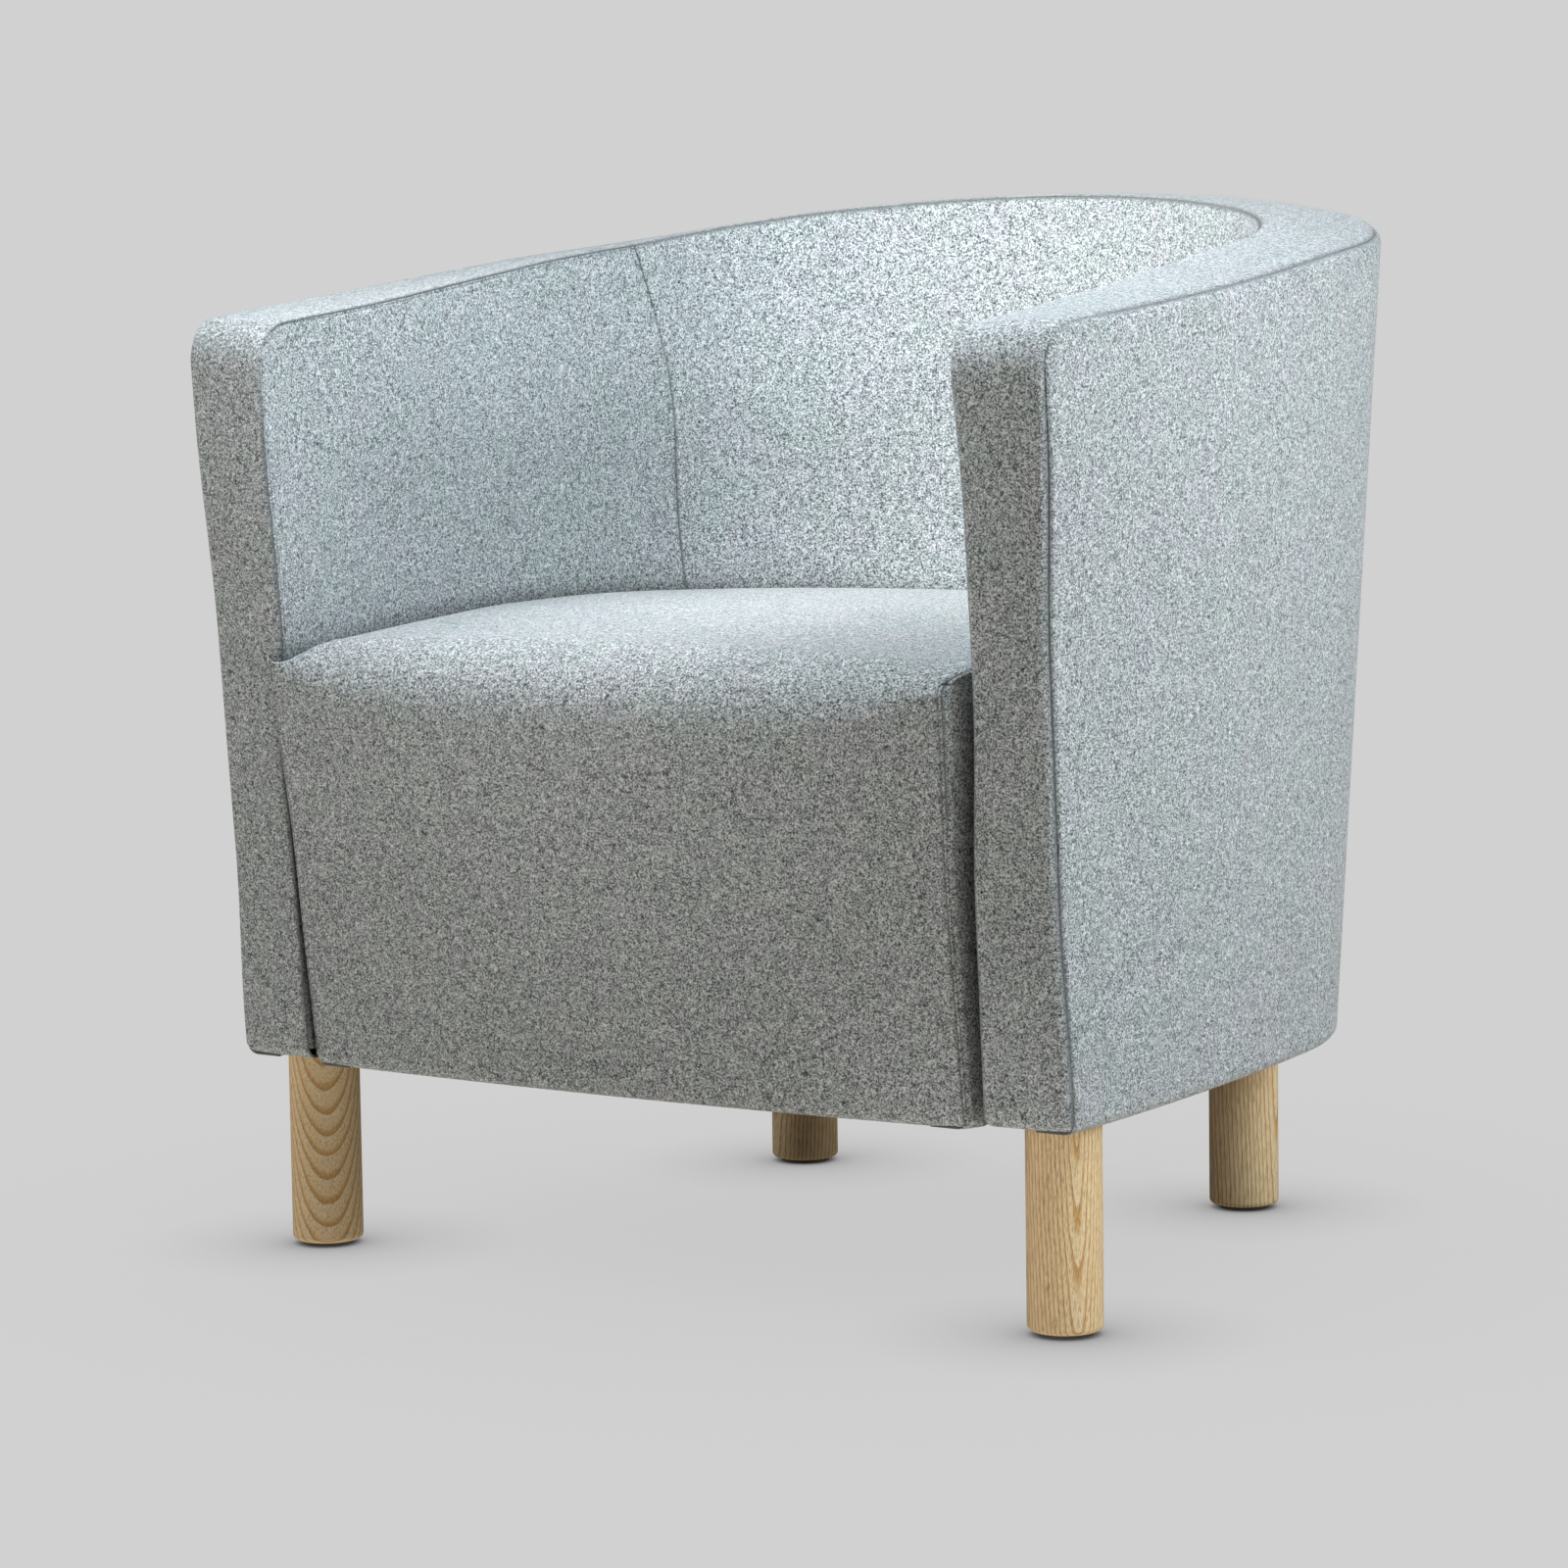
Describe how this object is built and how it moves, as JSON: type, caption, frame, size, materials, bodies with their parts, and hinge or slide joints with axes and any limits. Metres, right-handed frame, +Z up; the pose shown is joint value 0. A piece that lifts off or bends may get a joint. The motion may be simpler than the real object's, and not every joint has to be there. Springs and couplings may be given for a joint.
{
  "type": "tub chair",
  "caption": "Upholstered tub chair: one padded wall makes arms and back round a fixed crowned seat, in pale grey felted wool on straight round ash legs.",
  "frame": {"origin": "on the floor, under the middle of the chair's box", "axes": "+Z up, X across from arm to arm, the seat faces -Y"},
  "size_m": [0.7144, 0.6876, 0.7299],
  "materials": {
    "ash": "clear matt lacquer on pale ash",
    "nylon": "moulded",
    "steel": "zinc plated",
    "plywood": "sawn birch plywood",
    "beech": "turned beech",
    "hardboard": "pressed board",
    "webbing": "woven elastic",
    "foam": "cut polyurethane foam",
    "wadding": "loose polyester fibre",
    "wool_felt": "felted wool, pale grey melange",
    "lining_cloth": "black spunbonded cloth"
  },
  "bodies": {
    "root": {"base_rail_back": "plywood", "base_rail_front": "plywood", "base_rail_left": "plywood", "base_rail_right": "plywood", "base_screws": "steel", "border_band": "wool_felt", "dust_cover": "lining_cloth", "dust_cover_staples": "steel", "front_board": "hardboard", "front_padding": "foam", "glide_front_left": "nylon", "glide_front_right": "nylon", "glide_rear_left": "nylon", "glide_rear_right": "nylon", "inner_panel_back": "hardboard", "inner_panel_left": "hardboard", "inner_panel_right": "hardboard", "insert_nuts": "steel", "leg_bolts": "steel", "leg_front_left": "ash", "leg_front_right": "ash", "leg_rear_left": "ash", "leg_rear_right": "ash", "lining_back": "wool_felt", "lining_left": "wool_felt", "lining_right": "wool_felt", "outer_cover": "wool_felt", "outer_panel": "hardboard", "outer_wadding": "wadding", "post_back": "plywood", "post_corner_left": "plywood", "post_corner_right": "plywood", "post_front_left": "plywood", "post_front_right": "plywood", "post_side_left": "plywood", "post_side_right": "plywood", "rail_dowels": "beech", "rim_foam": "foam", "seat_cover": "wool_felt", "seat_foam": "foam", "seat_gusset_left": "wool_felt", "seat_gusset_right": "wool_felt", "seat_rail_back": "plywood", "seat_rail_front": "plywood", "seat_rail_left": "plywood", "seat_rail_right": "plywood", "seat_rail_screws": "steel", "top_rail_back": "plywood", "top_rail_left": "plywood", "top_rail_right": "plywood", "top_screws": "steel", "wall_foam_back": "foam", "wall_foam_left": "foam", "wall_foam_right": "foam", "webbing_cross": "webbing", "webbing_long": "webbing", "webbing_staples": "steel"}
  },
  "joints": []
}
